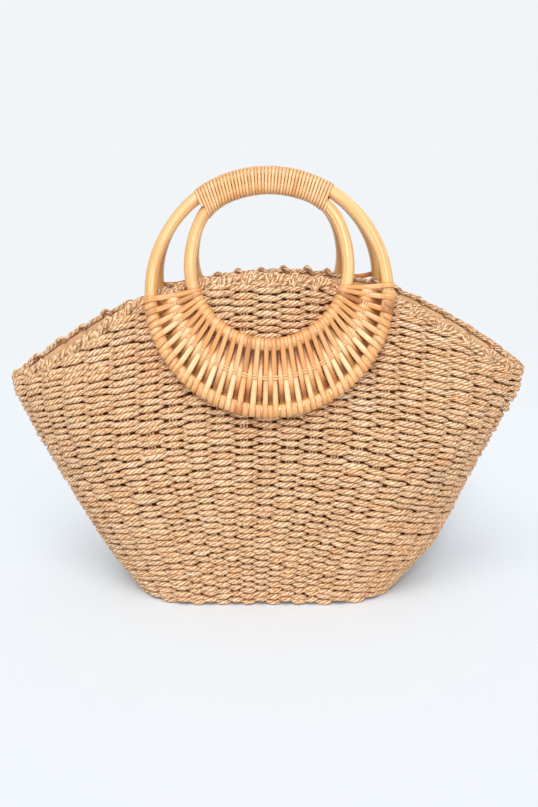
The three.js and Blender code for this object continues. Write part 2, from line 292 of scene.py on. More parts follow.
def noise(tree, place, scale, detail, roughness=0.5):
    """Cloudy noise, as a value of about 0.5."""
    inputs = {"Vector": place, "Scale": scale, "Detail": detail, "Roughness": roughness}
    return add_node(tree, "ShaderNodeTexNoise", inputs).outputs["Fac"]


def new_material(name, looks):
    """A new material with its node tree and its shader, which gets its plain values here."""
    material = bpy.data.materials.new(name)
    material.use_nodes = True
    shader = material.node_tree.nodes["Principled BSDF"]
    for key, value in looks.items():
        shader.inputs[key].default_value = value
    return material, material.node_tree, shader


def finish_surface(tree, shader, colour, height, strength, depth, roughness):
    """Gives a shader its colour, the relief of a height and its roughness."""
    inputs = {"Height": height, "Strength": strength, "Distance": depth}
    relief = result(tree, "ShaderNodeBump", inputs)
    for socket, value in (("Base Color", colour), ("Normal", relief), ("Roughness", roughness)):
        tree.links.new(value, shader.inputs[socket])


def painted_shade_inner_weave_material():
    """Rough straw of the inner half, painted dark brown as shade: short level fibres over darker
    patches.
    """
    material, tree, shader = new_material("inner_weave", {"Specular IOR Level": 0.1})
    place = add_node(tree, "ShaderNodeTexCoord").outputs["Object"]
    stretched = result(tree, "ShaderNodeMapping", {"Vector": place, "Scale": (240.0, 240.0, 900.0)})
    fibre = noise(tree, stretched, 1.0, 3.0)
    colour = mixed(tree, ranged(tree, fibre, 0.35, 0.65), linear(66, 30, 8), linear(108, 60, 24))
    rough = ranged(tree, fibre, 0.2, 0.8, 0.75, 0.95)
    finish_surface(tree, shader, colour, fibre, 0.5, 0.0006, rough)
    return material


INNER_WEAVE_INSET = 5.3
INNER_WEAVE_THICKNESS = 0.6
INNER_WEAVE_DROP = 6.0  # from the top of the border
INNER_WEAVE_FLOOR = 4.6
INNER_WEAVE_ROWS = 24
POT_FOLDS = 23  # round the bag
shell_turn = np.arange(220) / 220


def wall_pot(inset, floor, thickness, top_drop, rows, waves=0.0):
    """The rows of a thin pot that follows the wall: up its outer side and down its inner side."""
    rings = []
    top = mouth_height(shell_turn) - top_drop
    for deeper in (0.0, thickness):
        low = floor + deeper
        for rise in np.linspace(0, 1, rows)[:: -1 if deeper else 1]:
            height = low + rise**1.15 * (top - low)  # the rows lie closer together near the base
            ripple = np.sin(shell_turn * 2 * math.pi * POT_FOLDS + 5 * rise)
            fold = waves * ripple * math.sin(math.pi * rise)
            rings.append(on_wall(shell_turn, height, inset + deeper + fold))
    return np.array(rings)


def pot_piece(name, rings, material, attributes=None):
    """The mesh of a pot from its rows."""
    faces = rows_of_faces(len(rings), len(shell_turn))
    return new_piece(name, rings.reshape(-1, 3), faces, material, attributes)


rings = wall_pot(
    INNER_WEAVE_INSET,
    INNER_WEAVE_FLOOR,
    INNER_WEAVE_THICKNESS,
    INNER_WEAVE_DROP,
    INNER_WEAVE_ROWS,
)
inner_weave = pot_piece("inner_weave", rings, painted_shade_inner_weave_material())
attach(inner_weave, "root")
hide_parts("basket_body")


# The stakes: three thin cords of twisted paper side by side under each column of floats, from the
# base up to the border. They only show as light specks in the dark gaps between the rows.
def section_tree(name, values, section_of, turned):
    """A tree that sweeps a closed section along every given path and ends in one plain mesh."""
    tree = bpy.data.node_groups.new(name, "GeometryNodeTree")
    face = tree.interface
    face.new_socket("Paths", in_out="INPUT", socket_type="NodeSocketGeometry")
    for value in values:
        face.new_socket(value, in_out="INPUT", socket_type="NodeSocketFloat")
    face.new_socket("Material", in_out="INPUT", socket_type="NodeSocketMaterial")
    face.new_socket("Swept", in_out="OUTPUT", socket_type="NodeSocketGeometry")
    given = tree.nodes.new("NodeGroupInput").outputs

    curve = result(tree, "GeometryNodeMeshToCurve", {"Mesh": given["Paths"]})
    length = add_node(tree, "GeometryNodeSplineParameter").outputs["Length"]
    curve = kept(tree, curve, "along", length)
    curve = turned(tree, curve, length, given)
    section = section_of(tree, given)
    thick = result(tree, "GeometryNodeInputNamedAttribute", {"Name": "thick"})
    inputs = {"Curve": curve, "Profile Curve": section, "Scale": thick, "Fill Caps": True}
    mesh = result(tree, "GeometryNodeCurveToMesh", inputs)
    mesh = result(tree, "GeometryNodeSetShadeSmooth", {"Geometry": mesh})
    mesh = with_outward(tree, mesh)
    mesh = result(tree, "GeometryNodeRealizeInstances", {"Geometry": mesh})
    mesh = result(
        tree, "GeometryNodeSetMaterial", {"Geometry": mesh, "Material": given["Material"]}
    )
    tree.links.new(mesh, tree.nodes.new("NodeGroupOutput").inputs[0])
    return tree


def kept(tree, geometry, name, value, kind="FLOAT"):
    """A geometry with a value kept under a name at each of its points."""
    inputs = {"Geometry": geometry, "Name": name, "Value": value}
    return result(tree, "GeometryNodeStoreNamedAttribute", inputs, data_type=kind)


def with_outward(tree, mesh):
    """Keeps at each point how squarely it faces out of the bag: 1 on top of a cord, 0 in a gap."""
    # The straw material paints shade in the gaps by this value.
    place = result(tree, "GeometryNodeInputPosition")
    flatten = (HALF_WIDTH**-2, BASE_HALF_DEPTH**-2, 0.0)
    away = result(tree, "ShaderNodeVectorMath", {0: place, 1: flatten}, operation="MULTIPLY")
    away = result(tree, "ShaderNodeVectorMath", {0: away}, operation="NORMALIZE")
    normal = result(tree, "GeometryNodeInputNormal")
    facing = add_node(
        tree, "ShaderNodeVectorMath", {0: normal, 1: away}, operation="DOT_PRODUCT"
    ).outputs["Value"]
    return kept(tree, mesh, "outward", facing)


def with_place_round(tree, section, across, deep):
    """Keeps on the section where its points lie, as shares of its half width and depth."""
    place = result(tree, "GeometryNodeInputPosition")
    scale = result(tree, "ShaderNodeCombineXYZ", {"X": across, "Y": deep, "Z": 1.0})
    around = result(tree, "ShaderNodeVectorMath", {0: place, 1: scale}, operation="DIVIDE")
    return kept(tree, section, "around", around, "FLOAT_VECTOR")


def cord_section(tree, given):
    """A circle, a little flattened, as two plies lie side by side."""
    half = maths(tree, "MULTIPLY", given["Thickness"], 0.5)
    section = result(tree, "GeometryNodeCurvePrimitiveCircle", {"Resolution": 8, "Radius": half})
    section = with_place_round(tree, section, half, half)
    flatter = maths(tree, "SUBTRACT", 1.0, given["Ply Depth"])
    scale = result(tree, "ShaderNodeCombineXYZ", {"X": 1.0, "Y": flatter, "Z": 1.0})
    return result(tree, "GeometryNodeTransform", {"Geometry": section, "Scale": scale})


def cord_twist(tree, curve, length, given):
    """Turns the section along the path, once in every twist length."""
    phase = result(tree, "GeometryNodeInputNamedAttribute", {"Name": "phase"})
    turns = maths(tree, "SUBTRACT", phase, maths(tree, "DIVIDE", length, given["Twist Length"]))
    tilt = maths(tree, "MULTIPLY", turns, 2 * math.pi)
    return result(tree, "GeometryNodeSetCurveTilt", {"Curve": curve, "Tilt": tilt})


cord_tree = section_tree(
    "twisted_cord", ("Thickness", "Ply Depth", "Twist Length"), cord_section, cord_twist
)


def swept(name, tree, inputs, paths, attributes):
    """One mesh of many swept paths. paths holds points by path and step, in millimetres, and each
    attribute a value, or a vector, for every point."""
    count, steps, _ = paths.shape
    chain = np.arange(count * steps).reshape(count, steps)
    edges = np.stack([chain[:, :-1], chain[:, 1:]], axis=-1).reshape(-1, 2)
    guide = bpy.data.meshes.new(name + "_guide")
    guide.from_pydata((paths * MM).reshape(-1, 3).tolist(), edges.tolist(), [])
    keep_values(guide, attributes)
    piece = put_in_scene(name, guide)
    modifier = piece.modifiers.new(tree.name, "NODES")
    modifier.node_group = tree
    for item in tree.interface.items_tree:
        if item.in_out == "INPUT" and item.name in inputs:
            modifier[item.identifier] = inputs[item.name]
    bpy.context.view_layer.update()
    evaluated = piece.evaluated_get(bpy.context.evaluated_depsgraph_get())
    mesh = bpy.data.meshes.new_from_object(evaluated)
    piece.modifiers.remove(modifier)
    piece.data = mesh
    bpy.data.meshes.remove(guide)
    return piece


def kept_value(tree, name, output="Fac"):
    """In a material, what is kept under a name at the points of the mesh."""
    return add_node(tree, "ShaderNodeAttribute", attribute_name=name).outputs[output]


def fibre_group():
    """Streaks that run along a cord, a cane or a strip: fine creases, and slow patches of tone."""
    tree = bpy.data.node_groups.new("fibre_streaks", "ShaderNodeTree")
    for name in ("Fineness", "Stretch", "Patch Size", "Creases"):
        tree.interface.new_socket(name, in_out="INPUT", socket_type="NodeSocketFloat")
    for name in ("Streak", "Patch", "Groove", "Tone"):
        tree.interface.new_socket(name, in_out="OUTPUT", socket_type="NodeSocketFloat")
    given = tree.nodes.new("NodeGroupInput").outputs
    around = kept_value(tree, "around", "Vector")
    along = kept_value(tree, "along")
    tone = kept_value(tree, "tone")
    spread = result(
        tree, "ShaderNodeVectorMath", {0: around, "Scale": given["Fineness"]}, operation="SCALE"
    )
    own = maths(tree, "MULTIPLY", tone, 37.0)  # strands of another tone get other streaks
    down = maths(tree, "MULTIPLY", along, given["Stretch"])
    run = result(tree, "ShaderNodeCombineXYZ", {"X": own, "Z": down})
    where = result(tree, "ShaderNodeVectorMath", {0: spread, 1: run}, operation="ADD")
    streak = noise(tree, where, 1.0, 3.0, 0.6)
    place = add_node(tree, "ShaderNodeTexCoord").outputs["Object"]
    patch = noise(tree, place, given["Patch Size"], 2.0)
    lobe = add_node(tree, "ShaderNodeSeparateXYZ", {0: around}).outputs
    angle = maths(tree, "ARCTAN2", lobe["Y"], lobe["X"])
    wander = maths(tree, "MULTIPLY", streak, 8.0)
    angle = maths(tree, "MULTIPLY_ADD", angle, given["Creases"], wander)
    wave = maths(tree, "MULTIPLY_ADD", maths(tree, "COSINE", angle), 0.5, 0.5)
    groove = maths(tree, "POWER", wave, 3.0)
    out = tree.nodes.new("NodeGroupOutput").inputs
    for name, value in zip(("Streak", "Patch", "Groove", "Tone"), (streak, patch, groove, tone)):
        tree.links.new(value, out[name])
    return tree


fibres = fibre_group()


def fibre_streaks(tree, fineness, stretch, patch_size, creases=1.0):
    """The streaks placed in a material with its own values."""
    inputs = {"Fineness": fineness, "Stretch": stretch, "Patch Size": patch_size}
    inputs["Creases"] = creases
    return add_node(tree, "ShaderNodeGroup", inputs, node_tree=fibres).outputs


# STRAW_COLOURS: dark, middle and light tones of the paper, and a deep brown that is painted shade
# in the creases.
STRAW_COLOURS = ((236, 166, 104), (255, 211, 158), (255, 236, 200), (176, 94, 38))
STRAW_FLECKS = ((255, 212, 186), (204, 130, 70))
# STRAW_GAP_SHADE: painted shade, the brown of the gaps between the rows.
STRAW_GAP_SHADE = (120, 54, 14)


def straw_material(name, creases, gap_shade_share):
    """Twisted paper cord: matte, creased along its plies, with painted shade, brown, in its creases
    and gaps, and painted highlights on the crests of its plies.
    """
    material, tree, shader = new_material(name, {"Specular IOR Level": 0.12})
    streaks = fibre_streaks(tree, 2.4, 220.0, 14.0, creases)
    dark, middle, light, deep = (linear(*c) for c in STRAW_COLOURS)
    crease = ranged(tree, streaks["Streak"], 0.35, 0.6)
    colour = mixed(tree, crease, dark, middle)
    # The first two tints are the strands' own tone and patches; the third is a painted highlight on
    # the crests of the plies.
    for key, limits, tint in (
        ("Tone", (0.3, 1.0, 0.0, 0.6), light),
        ("Patch", (0.5, 0.75, 0.0, 0.25), dark),
        ("Groove", (0.0, 0.12, 0.4, 0.0), light),
    ):
        colour = mixed(tree, ranged(tree, streaks[key], *limits), colour, tint)
    # Painted shade: the creases between the plies go towards the deep brown, more at some places
    # than at others.
    uneven = ranged(tree, streaks["Streak"], 0.3, 0.6, 0.25, 0.85)
    shaded = maths(tree, "MULTIPLY", ranged(tree, streaks["Groove"], 0.25, 0.85), uneven)
    colour = mixed(tree, shaded, colour, deep)
    spot = add_node(tree, "ShaderNodeTexCoord").outputs["Object"]
    crumpled = noise(tree, spot, 480.0, 2.0)
    rosy, brown = (linear(*c) for c in STRAW_FLECKS)
    colour = mixed(tree, ranged(tree, crumpled, 0.52, 0.64, 0.0, 0.5), colour, rosy)
    colour = mixed(tree, ranged(tree, crumpled, 0.46, 0.34, 0.0, 0.65), colour, brown)
    # Painted shade: where the surface turns away from the outside, into the gaps between rows, the
    # colour goes to the gap brown.
    outward = kept_value(tree, "outward")
    outward = maths(tree, "ABSOLUTE", outward)
    painted_gap_shade = ranged(tree, outward, 0.05, 0.6, gap_shade_share, 0.0)
    colour = mixed(tree, painted_gap_shade, colour, linear(*STRAW_GAP_SHADE))
    height = maths(tree, "SUBTRACT", streaks["Streak"], streaks["Groove"])
    height = maths(tree, "MULTIPLY_ADD", crumpled, 1.6, height)
    rough = ranged(tree, streaks["Streak"], 0.2, 0.8, 0.62, 0.9)
    finish_surface(tree, shader, colour, height, 1.0, 0.0009, rough)
    return material


straw = straw_material("straw_cord", 5.0, 0.65)


def foot_inset(height):
    """How far the wall is drawn in near the floor, where it rounds into the base."""
    short = np.clip(BASE_ROUND - height, 0, BASE_ROUND)
    return BASE_ROUND - np.sqrt(np.maximum(BASE_ROUND**2 - short**2, 0))


STAKES = 44
STAKE_CORDS = 3
STAKE_CORD_SPREAD = 0.13  # of a stake's spacing
STAKE_CORD_INSET = 3.9
STAKE_STOPS = 7.0  # below the top of the border
STAKE_STEPS = 34
turn = (
    np.arange(STAKES)[:, None] + 0.5 + (np.arange(STAKE_CORDS) - 1)[None, :] * STAKE_CORD_SPREAD
).ravel()[:, None] / STAKES
rise = np.linspace(0, 1, STAKE_STEPS)[None, :]
height = 3 + rise * (mouth_height(turn) - STAKE_STOPS - 3)
stake_cords = swept(
    "stakes",
    cord_tree,
    {"Thickness": 2.3 * MM, "Ply Depth": 0.2, "Twist Length": 9 * MM, "Material": straw},
    on_wall(turn + 0 * height, height, STAKE_CORD_INSET + foot_inset(height)),
    {
        "thick": np.ones(height.shape),
        "phase": chance.uniform(size=height.shape[:1])[:, None] + 0 * height,
        "tone": chance.uniform(0.2, 0.9, size=height.shape[:1])[:, None] + 0 * height,
    },
)
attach(stake_cords, "root")


# The weft: twisted cord woven round the stakes, over one and under the next, each row the other way
# from the row below it. What shows outside is a float over every stake, and it dives between them.
ROW_RISE = 3.05  # height from one row to the next
ROW_ARCH = 0.22  # how much lower a row lies at the tips than in the middle, as a share
FIRST_ROW = 2.7
CORD = {"Thickness": 5.7 * MM, "Ply Depth": 0.12, "Twist Length": 25 * MM, "Material": straw}
FLOAT_STEPS = 11
FLOAT_REACH = 0.6  # of a stake's spacing, to each side
FLOAT_TOP = 2.6  # inset of the cord's centre over a stake
FLOAT_CROSSING = 4.2  # and between stakes
WEFT_STOPS = 8.5  # below the top of the border
LIFT = {"wander": 0.2, "float": 0.3, "tilt": 0.35, "knot": 0.12}  # unevenness in millimetres
DEPTH = {"float": 0.18, "knot": 0.15}
SWELL = {"wave": 0.035, "float": 0.05, "knot": 0.05, "top": 0.06}  # as shares of the thickness
SWELL_FROM, SWELL_OVER = 170, 80  # above here the wall leans, so its rows lie further apart
TONE_SPREAD = 0.16


def gathered(cords):
    """Many cords as swept() takes them, each given by its path, thickness, twist and tone."""
    paths, thick, phase, tone = (np.array(part) for part in zip(*cords))
    whole = np.ones(paths.shape[:2])
    return paths, {"thick": thick, "phase": phase[:, None] * whole, "tone": tone[:, None] * whole}


def weft_floats(stakes):
    """The floats over some of the stakes: their paths, thickness, twist and tone."""
    t = np.linspace(-FLOAT_REACH, FLOAT_REACH, FLOAT_STEPS)
    dive = FLOAT_CROSSING - (FLOAT_CROSSING - FLOAT_TOP) * np.sign(np.cos(math.pi * t)) * (
        np.abs(np.cos(math.pi * t)) ** 0.75
    )
    squeeze = 1 - 0.32 * (np.abs(t) / 0.5) ** 2.5
    cords = []
    rows = int(MOUTH_HEIGHT / ROW_RISE)
    for k in stakes:
        turn = (k + 0.5 + t) / STAKES
        share = np.abs(width_share(turn))
        top = mouth_height(turn) - WEFT_STOPS
        middle = FLOAT_STEPS // 2
        for row in range(rows):
            jitter = chance.normal(0, 1, 5)
            if (row + k) % 2:
                continue
            height = (FIRST_ROW + row * ROW_RISE) * (1 - ROW_ARCH * share**2)
            wander = np.sin(2 * math.pi * (turn * 7 + row * 0.29)) + np.sin(turn * 71 + row * 1.7)
            height = height + LIFT["wander"] * wander + LIFT["float"] * jitter[0]
            height = height + LIFT["tilt"] * jitter[1] * t / FLOAT_REACH
            if height[middle] > top[middle] + 1.0:
                continue
            knots = chance.normal(0, 1, (3, FLOAT_STEPS))
            height = np.minimum(height, top + 1.0) + LIFT["knot"] * knots[0]
            height = np.maximum(height, FIRST_ROW)
            inset = dive + foot_inset(height) + DEPTH["float"] * jitter[2]
            packed = 1 + SWELL["wave"] * math.sin(k * 0.9 + row * 0.13)
            packed += SWELL["float"] * jitter[3]
            packed += SWELL["top"] * smooth_step((height[middle] - SWELL_FROM) / SWELL_OVER)
            path = on_wall(turn, height, inset + DEPTH["knot"] * knots[1])
            over_floor = height * MM / (CORD["Thickness"] / 2)
            thick = np.minimum(squeeze * (packed + SWELL["knot"] * knots[2]), over_floor)
            tone = np.clip(0.5 + TONE_SPREAD * jitter[4], 0, 1)
            cords.append((path, thick, chance.uniform(), tone))
    return gathered(cords)


WEFT_PIECES = {
    "weft_front_left": range(-5, 6),
    "weft_front_right": range(6, 17),
    "weft_back_right": range(17, 28),
    "weft_back_left": range(28, 39),
}
for name, stakes in WEFT_PIECES.items():
    piece = swept(name, cord_tree, CORD, *weft_floats(stakes))
    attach(piece, "root")
    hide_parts("basket_body")


# The base: the same weave carried on in ovals to the middle of the bottom, where every second and
# then every fourth stake is left. The cords' lowest sides are what the bag stands on.
BASE_CORD_HEIGHT = 2.7
BASE_ROWS = 18
BASE_FIRST_INSET = 6.4
BASE_HALVED, BASE_QUARTERED = 22, 40  # insets from where only every second or fourth stake is left
BASE_DIVE = 2.0


def base_floats():
    """The floats of the bottom, seen from below: they dive upwards between the stakes."""
    t = np.linspace(-FLOAT_REACH, FLOAT_REACH, 10)
    squeeze = 1 - 0.3 * (np.abs(t) / 0.5) ** 2.5
    cords = []
    for row in range(BASE_ROWS):
        inset = BASE_FIRST_INSET + row * ROW_RISE * 0.97
        group = 1 if inset < BASE_HALVED else 2 if inset < BASE_QUARTERED else 4
        for k in range(0, STAKES, group):
            if (row + k // group) % 2:
                continue
            jitter = chance.normal(0, 1, 4)
            turn = (k + group / 2 + t * group) / STAKES
            height = BASE_CORD_HEIGHT + BASE_DIVE * (1 - np.abs(np.cos(math.pi * t)) ** 0.75)
            height = height + np.where(np.abs(t) > 0.5, 1.2, 0)
            path = on_wall(turn, 0 * t, inset + 0.2 * jitter[0])
            path[:, 2] = height + 0.05 * jitter[1]
            over_floor = path[:, 2] * MM / (CORD["Thickness"] / 2)
            thick = np.minimum(squeeze * (0.94 + 0.03 * jitter[2]), over_floor)
            tone = np.clip(0.5 + 0.14 * jitter[3], 0, 1)
            cords.append((path, thick, chance.uniform(), tone))
    return gathered(cords)


base_weave = swept("base_weave", cord_tree, CORD, *base_floats())
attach(base_weave, "root")
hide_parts("basket_body")


# The border: above the last row four thin ends of every stake fan out to the right over the
# outside, fold over a cord that runs round the rim, and lie along its inside, where a loop locks
# each bundle.
thin_straw = straw_material("thin_straw_cord", 2.0, 0.2)
BORDER_CORD = {
    "Thickness": 2.9 * MM,
    "Ply Depth": 0.15,
    "Twist Length": 12 * MM,
    "Material": thin_straw,
}
BORDER_STEPS = 20
BORDER_ENDS = 4
FOLD = np.array(  # along in stakes, up from the rim, into the wall
    [(0.0, -11.5, 3.8), (0.03, -10.0, 1.6), (0.12, -6.8, 0.7), (0.26, -3.2, 1.2)]
    + [(0.38, -0.9, 3.2), (0.52, -0.5, 5.0), (0.75, -1.5, 6.2), (0.95, -2.6, 6.2)]
)
FAN_FOOT, FAN_CREST = 0.035, 0.19  # how far apart the ends lie, at the foot and where they fold
LOCK = np.array(
    [(-0.17, -3.0, 6.6), (-0.12, -0.2, 7.4), (0.0, 2.3, 6.6), (0.12, 0.6, 5.2), (0.16, -2.2, 5.0)]
)
LOCK_THICKNESS = 1.45
LOCK_FRONT_RISE = 0.3  # the loops lie lower along the front, which leans over them
CORE_COURSES = [(-3.7, 3.6, 1.7), (-7.6, 4.6, 1.5)]  # up from the rim, into the wall, thickness


def smooth_path(points, steps):
    """Points spaced along a rounded line through a few given ones."""
    at = np.r_[0, np.cumsum(np.linalg.norm(np.diff(points * (20, 1, 1), axis=0), axis=1))]
    fine = np.linspace(0, at[-1], 60)
    line = np.stack([np.interp(fine, at, points[:, i]) for i in range(3)], axis=1)
    kernel = np.array([1, 2, 3, 4, 3, 2, 1]) / 16
    padded = np.pad(line, ((3, 3), (0, 0)), mode="reflect", reflect_type="odd")
    line = np.stack([np.convolve(padded[:, i], kernel, "valid") for i in range(3)], axis=1)
    wanted = np.linspace(0, 59, steps)
    return np.stack([np.interp(wanted, np.arange(60), line[:, i]) for i in range(3)], axis=1)


def border_cords():
    """The fanned ends, the locking loops and the cords they fold over, as one set of paths."""
    cords = []

    def lay(turn, height, inset, thickness):
        path, thick = on_wall(turn, height, inset), np.full(BORDER_STEPS, thickness)
        cords.append((path, thick, chance.uniform(), np.clip(0.5 + 0.15 * chance.normal(), 0, 1)))

    folded = smooth_path(FOLD, BORDER_STEPS)
    spread = FAN_FOOT + (FAN_CREST - FAN_FOOT) * smooth_step((folded[:, 1] + 10) / 9)
    lock = smooth_path(LOCK, BORDER_STEPS)
    for k in range(STAKES):
        for n in range(BORDER_ENDS):
            jitter = chance.normal(0, 1, 3)
            along = folded[:, 0] + (n - (BORDER_ENDS - 1) / 2) * spread
            along = along * (1 + 0.04 * jitter[0])
            turn = (k + 0.45 + along) / STAKES
            height = mouth_height(turn) + folded[:, 1] + 0.35 * jitter[1] * np.sin(along * 3)
            lay(turn, height, folded[:, 2] + 0.1 * n, 1 + 0.06 * jitter[2])
        jitter = chance.normal(0, 1, 3)
        turn = (k + 0.75 + 0.05 * jitter[0] + lock[:, 0] * (1 + 0.1 * jitter[1])) / STAKES
        share = LOCK_FRONT_RISE if 0 < (turn.mean() % 1.0) < 0.5 else 1 + 0.3 * jitter[2]
        rise = np.where(lock[:, 1] > 0, lock[:, 1] * share, lock[:, 1])
        lay(turn, mouth_height(turn) + rise, lock[:, 2], LOCK_THICKNESS)
        for up, inset, thickness in CORE_COURSES:
            turn = (k + np.linspace(-0.02, 1.02, BORDER_STEPS)) / STAKES
            lay(turn, mouth_height(turn) + up, inset + 0 * turn, thickness)
    return gathered(cords)


rim = swept("rim_cords", cord_tree, BORDER_CORD, *border_cords())
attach(rim, "root")
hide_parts("rim_border")


# The lining: a pot of thin tan cloth sewn round the mouth under the border. It hangs close to the
# weave, with shallow upright folds, and its top edge is turned over once.
LINING_INSET = 6.5
LINING_THICKNESS = 0.6
LINING_DROP = 3.8
LINING_FLOOR = 6.5


def lining_material():
    """Plain-woven cloth: threads in level and upright lines, with soft worn patches."""
    material, tree, shader = new_material("lining_cloth", {"Sheen Weight": 0.2})
    place = kept_value(tree, "cloth", "Vector")
    parts = add_node(tree, "ShaderNodeSeparateXYZ", {0: place}).outputs
    threads = []
    for axis in ("X", "Y"):
        wave = maths(tree, "SINE", maths(tree, "MULTIPLY", parts[axis], 2 * math.pi / 0.0009))
        threads.append(maths(tree, "MULTIPLY_ADD", wave, 0.5, 0.5))
    weave = maths(tree, "MAXIMUM", threads[0], threads[1])
    spot = add_node(tree, "ShaderNodeTexCoord").outputs["Object"]
    worn = noise(tree, spot, 22.0, 4.0)
    pale = ranged(tree, worn, 0.35, 0.7)
    colour = mixed(tree, pale, linear(222, 172, 122), linear(238, 194, 148))
    colour = mixed(tree, maths(tree, "MULTIPLY", weave, 0.25), colour, linear(184, 132, 90))
    rough = ranged(tree, worn, 0.2, 0.8, 0.85, 0.95)
    finish_surface(tree, shader, colour, weave, 0.3, 0.0003, rough)
    return material


LINING_ROWS = 30
LINING_FOLD = 0.15
rings = wall_pot(
    LINING_INSET, LINING_FLOOR, LINING_THICKNESS, LINING_DROP, LINING_ROWS, LINING_FOLD
)
cloth = np.zeros(rings.shape)
cloth[..., 0] = shell_turn * 0.9
cloth[..., 1] = rings[..., 2] * MM
lining = pot_piece("lining_cloth", rings, lining_material(), {"cloth": cloth})
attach(lining, "root")
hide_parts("lining")


# The rings: two canes to each handle, bent round and scarf-jointed under the grip, the smaller one
# against the inside of the larger one at the top. Peeled, smoothed and varnished rattan.
HANDLES = {"front": (-1, 1.5), "back": (1, 0.0)}  # the way it faces, and its shift to the right
HUG = 3.2


def in_handle(side, across, depth, up):
    """A place in the leaning plane of a handle, taken to the bag: depth is out from the plane."""
    facing, shift = HANDLES[side]
    out = ring_half_depth + depth * math.cos(LEAN) - up * math.sin(LEAN)
    high = ring_height + depth * math.sin(LEAN) + up * math.cos(LEAN)
    across, out, high = np.broadcast_arrays(shift + across, facing * out, high)
    return np.stack([across, out, high], axis=-1)


def way_in_handle(side, across, depth, up):
    """A direction in the plane of a handle, taken to the bag."""
    return in_handle(side, across, depth, up) - in_handle(side, 0.0, 0.0, 0.0)


def on_outer(angle):
    """The outer cane's middle in the handle's plane, at an angle in degrees from the right."""
    a = np.radians(angle)
    return outer_radius * np.cos(a), outer_radius * np.sin(a)


def on_inner(angle):
    """The middle of the inner cane, which swells towards the outer one beside the grip."""
    a = np.radians(angle)
    past = np.abs((angle - 90 + 180) % 360 - 180)
    radius = inner_radius + np.where(past < 90, HUG * np.sin(np.radians(2 * past)) ** 3, 0)
    return radius * np.cos(a), ring_offset + radius * np.sin(a)


def cane_material():
    """Peeled rattan: long straw-yellow fibres, an orange cast in the varnish, a soft shine."""
    varnish = {"Coat Weight": 0.9, "Coat Roughness": 0.2}
    material, tree, shader = new_material("rattan_cane", varnish)
    streaks = fibre_streaks(tree, 3.0, 14.0, 22.0)
    fibre = ranged(tree, streaks["Streak"], 0.38, 0.62)
    colour = mixed(tree, fibre, linear(216, 154, 86), linear(242, 202, 138))
    amber = ranged(tree, streaks["Patch"], 0.4, 0.7, 0.0, 0.6)
    colour = mixed(tree, amber, colour, linear(222, 150, 82))
    rough = ranged(tree, streaks["Streak"], 0.2, 0.8, 0.3, 0.45)
    finish_surface(tree, shader, colour, streaks["Streak"], 0.12, 0.0006, rough)
    return material


rattan = cane_material()
RING_STEPS = 132
RING_SIDES = 14


def cane_ring(side, which):
    """One bent cane, not quite even in its thickness, with its joint under the grip."""
    course = {"outer": on_outer, "inner": on_inner}[which]
    angle = 90 + np.arange(RING_STEPS) * 360 / RING_STEPS
    centre = np.stack(course(angle), axis=1)
    ahead = np.stack(course(angle + 0.5), axis=1) - np.stack(course(angle - 0.5), axis=1)
    ahead /= np.linalg.norm(ahead, axis=1)[:, None]
    away = np.stack([ahead[:, 1], -ahead[:, 0]], axis=1)
    offset = chance.uniform(0, 2 * math.pi)
    radius = cane * (1 + 0.014 * np.sin(np.radians(angle) * 3 + offset)) - 0.02
    around = np.arange(RING_SIDES) * 2 * math.pi / RING_SIDES
    r = radius[:, None]
    flat = centre[:, None, :] + away[:, None, :] * (r * np.cos(around))[..., None]
    points = in_handle(side, flat[..., 0], -r * np.sin(around), flat[..., 1])
    faces = []
    for i in range(RING_STEPS):
        low, high = i * RING_SIDES, (i + 1) % RING_STEPS * RING_SIDES
        for j in range(RING_SIDES):
            after = (j + 1) % RING_SIDES
            faces.append((low + j, high + j, high + after, low + after))
    if HANDLES[side][0] > 0:
        faces = [face[::-1] for face in faces]
    place = np.zeros(points.shape)
    place[..., 0], place[..., 1] = np.cos(around), np.sin(around)
    length = np.linalg.norm(np.diff(centre, axis=0), axis=1)
    along = np.r_[0, np.cumsum(length)][:, None] * MM + 0 * r * around
    name = f"{side}_{which}_cane"
    along = along.ravel()
    attributes = {"around": place.reshape(-1, 3), "along": along, "tone": 0.5 + 0 * along}
    piece = new_piece(name, points.reshape(-1, 3), faces, rattan, attributes)
    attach(piece, "root")
    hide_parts(f"{side}_{which}_ring")


for side in HANDLES:
    cane_ring(side, "outer")
    cane_ring(side, "inner")


# The cane panels: flat strips of split cane woven across the crescent between the two rings. One
# set comes over the inner ring, behind a pair of thin strips and over the outer ring; the other
# goes the other way. They wrap both canes, and hold the handle to the bag's side.
def strip_section(tree, given):
    """A flat strip with rounded edges: its thickness lies along the face's direction."""
    size = {"Width": given["Thickness"], "Height": given["Width"]}
    section = result(tree, "GeometryNodeCurvePrimitiveQuadrilateral", size)
    corner = maths(tree, "MULTIPLY", given["Thickness"], 0.42)
    inputs = {"Curve": section, "Radius": corner, "Count": 1}
    section = result(tree, "GeometryNodeFilletCurve", inputs, mode="POLY")
    half = [maths(tree, "MULTIPLY", given[key], 0.5) for key in ("Thickness", "Width")]
    return with_place_round(tree, section, *half)


def strip_facing(tree, curve, length, given):
    """Lays the strip's flat side along the direction kept at each point of the path."""
    facing = result(
        tree, "GeometryNodeInputNamedAttribute", {"Name": "facing"}, data_type="FLOAT_VECTOR"
    )
    return result(
        tree, "GeometryNodeSetCurveNormal", {"Curve": curve, "Normal": facing}, mode="FREE"
    )


strip_tree = section_tree("cane_strip", ("Width", "Thickness"), strip_section, strip_facing)


